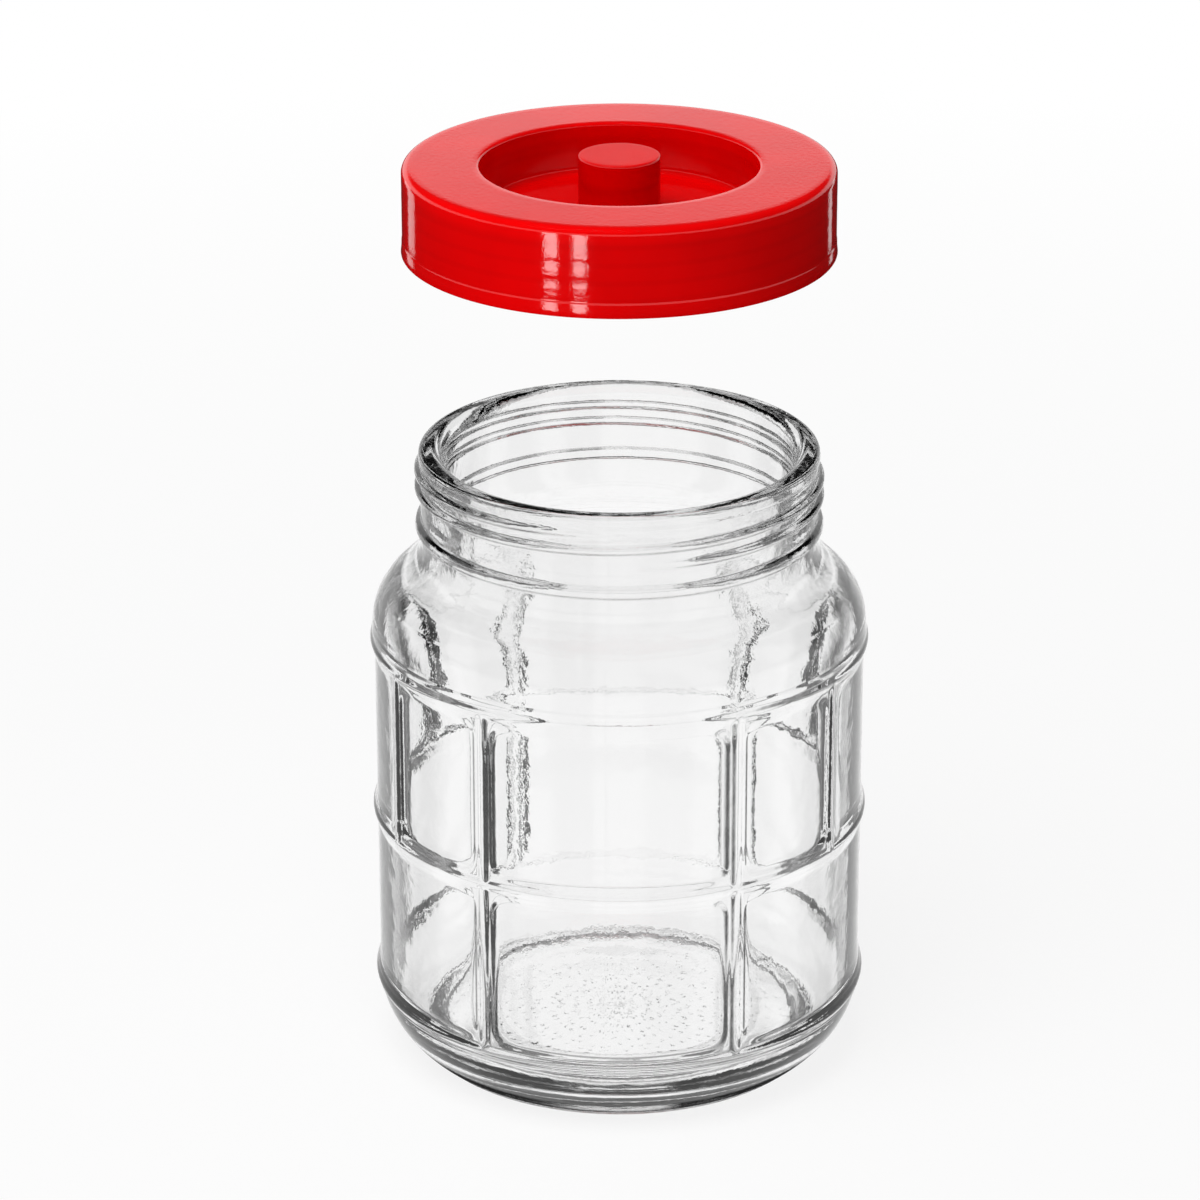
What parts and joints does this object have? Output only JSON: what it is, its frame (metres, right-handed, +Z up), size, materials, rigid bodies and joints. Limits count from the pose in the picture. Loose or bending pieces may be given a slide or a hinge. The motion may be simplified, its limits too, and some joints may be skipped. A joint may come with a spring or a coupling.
{
  "type": "glass fermentation jar",
  "caption": "Wide-mouth pressed-glass jar with panelled sides and a red screw lid that has a recessed finger well and a centre boss.",
  "frame": {"origin": "centre of the jar's foot, on the surface that it stands on", "axes": "+Z up along the axis of the jar and its lid, -Y towards the front of the jar, where its thread starts"},
  "size_m": [0.2, 0.2, 0.375],
  "materials": {
    "clear_glass": "clear, smooth pressed glass",
    "seal_rubber": "soft matte",
    "red_plastic": "glossy moulded plastic"
  },
  "bodies": {
    "jar": {"glass_jar": "clear_glass"},
    "seal": {"seal_ring": "seal_rubber"},
    "lid": {"lid": "red_plastic"}
  },
  "joints": [
    {"name": "lid_rise", "type": "slide", "parent": "jar", "child": "seal", "axis": [0, 0, 1], "range_m": [-0.112, 0]},
    {"name": "lid_turn", "type": "hinge", "parent": "seal", "child": "lid", "pos_m": [0, 0, 0.35], "axis": [0, 0, 1], "range_deg": [-5760, 0]}
  ],
  "couplings": [
    {"joint": "lid_rise", "follows": "lid_turn", "m_per_rad": 0.0011141}
  ]
}
